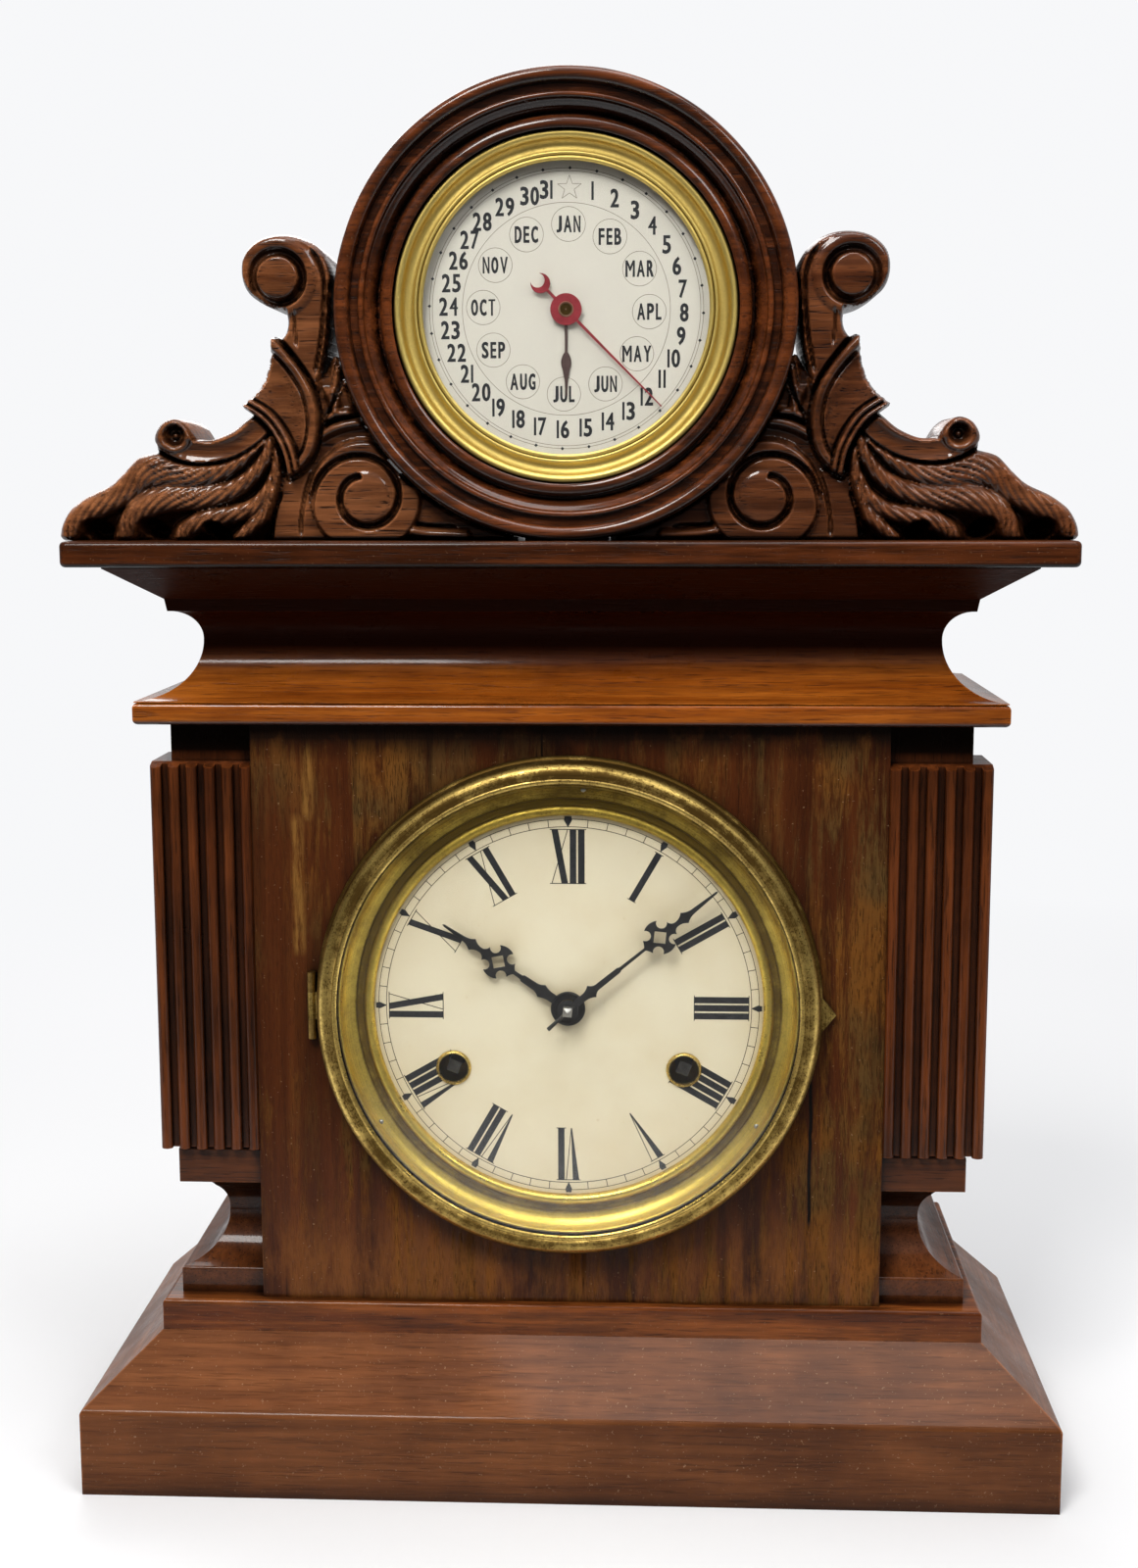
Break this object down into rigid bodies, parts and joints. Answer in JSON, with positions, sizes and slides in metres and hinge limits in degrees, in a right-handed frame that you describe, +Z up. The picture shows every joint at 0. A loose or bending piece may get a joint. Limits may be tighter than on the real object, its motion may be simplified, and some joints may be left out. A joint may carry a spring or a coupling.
{
  "type": "mantel clock with calendar",
  "caption": "Carved wooden mantel clock with a striking movement, hinged glazed dial door, and a round calendar head showing date and month.",
  "frame": {"origin": "middle of the footprint on the table, on the ground plane", "axes": "+X to the right seen from the dial side, +Y to the back, +Z up"},
  "size_m": [0.356, 0.142, 0.5057],
  "materials": {
    "dark_walnut": "dark stained wood under worn gloss varnish",
    "panel_veneer": "worn vertical grain veneer with fine cracks",
    "light_board": "lighter orange brown varnished board",
    "carving_wood": "carved dark wood, rubbed on the high parts",
    "back_wood": "plain unvarnished softwood, darkened",
    "aged_brass": "dull aged brass with worn lacquer",
    "bright_brass": "bright lacquered brass",
    "movement_brass": "plain brass plates and wheels",
    "blued_steel": "black japanned steel hands",
    "red_hand_paint": "matt red paint",
    "brown_hand_paint": "dark brown paint",
    "steel": "plain steel",
    "spring_steel": "tempered blue grey spring steel",
    "iron": "black painted iron",
    "dial_paper": "ivory dial paper, mellowed",
    "calendar_paper": "off white calendar paper",
    "clear_glass": "clear window glass"
  },
  "bodies": {
    "case": {"plinth_front_moulding": "dark_walnut", "plinth_side_mouldings": "dark_walnut", "base_board": "dark_walnut", "foot_mouldings": "dark_walnut", "pilaster_bases": "dark_walnut", "pilaster_right": "dark_walnut", "pilaster_left": "dark_walnut", "side_board_right": "dark_walnut", "side_board_left": "dark_walnut", "front_panel": "panel_veneer", "cornice_bed_board": "light_board", "cornice_front_moulding": "dark_walnut", "cornice_side_mouldings": "dark_walnut", "top_board": "dark_walnut", "calendar_ring": "dark_walnut", "carved_ear_right": "carving_wood", "carved_ear_left": "carving_wood", "back_frame": "back_wood", "back_hinge_plates": "aged_brass", "dial_plate": "dial_paper", "dial_pan": "bright_brass", "winding_grommets": "bright_brass", "dial_hinge_plate": "aged_brass", "movement_front_plate": "movement_brass", "movement_back_plate": "movement_brass", "movement_pillars": "steel", "mainsprings": "spring_steel", "suspension_cock": "movement_brass", "gong": "iron", "calendar_bezel": "bright_brass", "calendar_glass": "clear_glass", "calendar_dial": "calendar_paper", "calendar_back_plate": "movement_brass"},
    "dial_door": {"dial_bezel": "aged_brass", "dial_glass": "clear_glass"},
    "minute_hand_set": {"minute_hand": "blued_steel", "centre_arbor": "steel"},
    "hour_hand_set": {"hour_hand": "blued_steel", "hour_wheel": "movement_brass"},
    "minute_wheel_set": {"minute_wheel": "movement_brass"},
    "second_wheel_set": {"second_wheel": "movement_brass"},
    "going_great_wheel": {"great_wheel_right": "movement_brass"},
    "striking_great_wheel": {"great_wheel_left": "movement_brass"},
    "going_winding_arbor": {"winding_arbor_right": "steel"},
    "striking_winding_arbor": {"winding_arbor_left": "steel"},
    "escape_wheel_set": {"escape_wheel": "movement_brass"},
    "verge_set": {"verge": "steel"},
    "pendulum": {"pendulum_rod": "steel", "pendulum_bob": "aged_brass"},
    "hammer_set": {"strike_hammer": "aged_brass"},
    "date_set": {"date_wheel": "movement_brass", "date_hand": "red_hand_paint"},
    "calendar_idler_set": {"calendar_idler": "movement_brass"},
    "month_set": {"month_wheel": "movement_brass", "month_hand": "brown_hand_paint"},
    "calendar_lever_set": {"calendar_lever": "steel"},
    "lifting_wire": {"drive_wire": "steel"},
    "rear_door": {"back_door": "back_wood", "back_hinge_leaves": "aged_brass"},
    "door_button": {"turn_button": "back_wood"}
  },
  "joints": [
    {"name": "dial_door_hinge", "type": "hinge", "parent": "case", "child": "dial_door", "pos_m": [-0.094, -0.0436, 0.1787], "axis": [0, 0, 1], "range_deg": [-110, 0]},
    {"name": "minute_turn", "type": "hinge", "parent": "case", "child": "minute_hand_set", "pos_m": [0, -0.045, 0.1787], "axis": [0, 1, 0], "continuous": true},
    {"name": "hour_turn", "type": "hinge", "parent": "case", "child": "hour_hand_set", "pos_m": [0, -0.045, 0.1787], "axis": [0, 1, 0], "continuous": true},
    {"name": "minute_wheel_turn", "type": "hinge", "parent": "case", "child": "minute_wheel_set", "pos_m": [-0.0145, -0.0266, 0.17194], "axis": [0, 1, 0], "continuous": true},
    {"name": "second_wheel_turn", "type": "hinge", "parent": "case", "child": "second_wheel_set", "pos_m": [0.021, -0.01, 0.1787], "axis": [0, 1, 0], "continuous": true},
    {"name": "going_great_wheel_turn", "type": "hinge", "parent": "case", "child": "going_great_wheel", "pos_m": [0.0422, -0.0108, 0.1554], "axis": [0, 1, 0], "continuous": true},
    {"name": "striking_great_wheel_turn", "type": "hinge", "parent": "case", "child": "striking_great_wheel", "pos_m": [-0.0422, -0.0108, 0.1554], "axis": [0, 1, 0], "continuous": true},
    {"name": "going_winding", "type": "hinge", "parent": "case", "child": "going_winding_arbor", "pos_m": [0.0422, -0.0108, 0.1554], "axis": [0, 1, 0], "continuous": true},
    {"name": "striking_winding", "type": "hinge", "parent": "case", "child": "striking_winding_arbor", "pos_m": [-0.0422, -0.0108, 0.1554], "axis": [0, 1, 0], "continuous": true},
    {"name": "escape_wheel_turn", "type": "hinge", "parent": "case", "child": "escape_wheel_set", "pos_m": [0, -0.0134, 0.203], "axis": [0, 1, 0], "continuous": true},
    {"name": "pendulum_swing", "type": "hinge", "parent": "case", "child": "pendulum", "pos_m": [0, 0.026, 0.218], "axis": [0, 1, 0], "range_deg": [-4, 4]},
    {"name": "verge_rock", "type": "hinge", "parent": "case", "child": "verge_set", "pos_m": [0, -0.013, 0.218], "axis": [0, 1, 0], "range_deg": [-4.5, 4.5]},
    {"name": "hammer_lift", "type": "hinge", "parent": "case", "child": "hammer_set", "pos_m": [-0.058, 0.0395, 0.19], "axis": [0, 1, 0], "range_deg": [0, 12]},
    {"name": "date_turn", "type": "hinge", "parent": "case", "child": "date_set", "pos_m": [0, -0.0496, 0.4267], "axis": [0, 1, 0], "continuous": true},
    {"name": "calendar_idler_turn", "type": "hinge", "parent": "case", "child": "calendar_idler_set", "pos_m": [-0.015, -0.025, 0.4267], "axis": [0, 1, 0], "continuous": true},
    {"name": "month_turn", "type": "hinge", "parent": "case", "child": "month_set", "pos_m": [0, -0.0485, 0.4267], "axis": [0, 1, 0], "continuous": true},
    {"name": "wire_lift", "type": "slide", "parent": "case", "child": "lifting_wire", "axis": [0, 0, 1], "range_m": [0, 0.006]},
    {"name": "calendar_lever_rock", "type": "hinge", "parent": "case", "child": "calendar_lever_set", "pos_m": [0.024, -0.0198, 0.404], "axis": [0, 1, 0], "range_deg": [0, 26]},
    {"name": "rear_door_hinge", "type": "hinge", "parent": "case", "child": "rear_door", "pos_m": [0.0943, 0.0686, 0.176], "axis": [0, 0, 1], "range_deg": [-110, 0]},
    {"name": "door_button_turn", "type": "hinge", "parent": "case", "child": "door_button", "pos_m": [-0.097, 0.0698, 0.176], "axis": [0, 1, 0], "range_deg": [-90, 0]}
  ],
  "couplings": [
    {"joint": "hour_turn", "follows": "minute_turn", "ratio": 0.083333},
    {"joint": "minute_wheel_turn", "follows": "minute_turn", "ratio": -0.33333},
    {"joint": "second_wheel_turn", "follows": "minute_turn", "ratio": -0.25},
    {"joint": "going_great_wheel_turn", "follows": "minute_turn", "ratio": 0.041667},
    {"joint": "verge_rock", "follows": "pendulum_swing", "ratio": 1},
    {"joint": "calendar_idler_turn", "follows": "date_turn", "ratio": -0.33333},
    {"joint": "month_turn", "follows": "date_turn", "ratio": 0.083333},
    {"joint": "calendar_lever_rock", "follows": "wire_lift", "rad_per_m": 71.429}
  ]
}
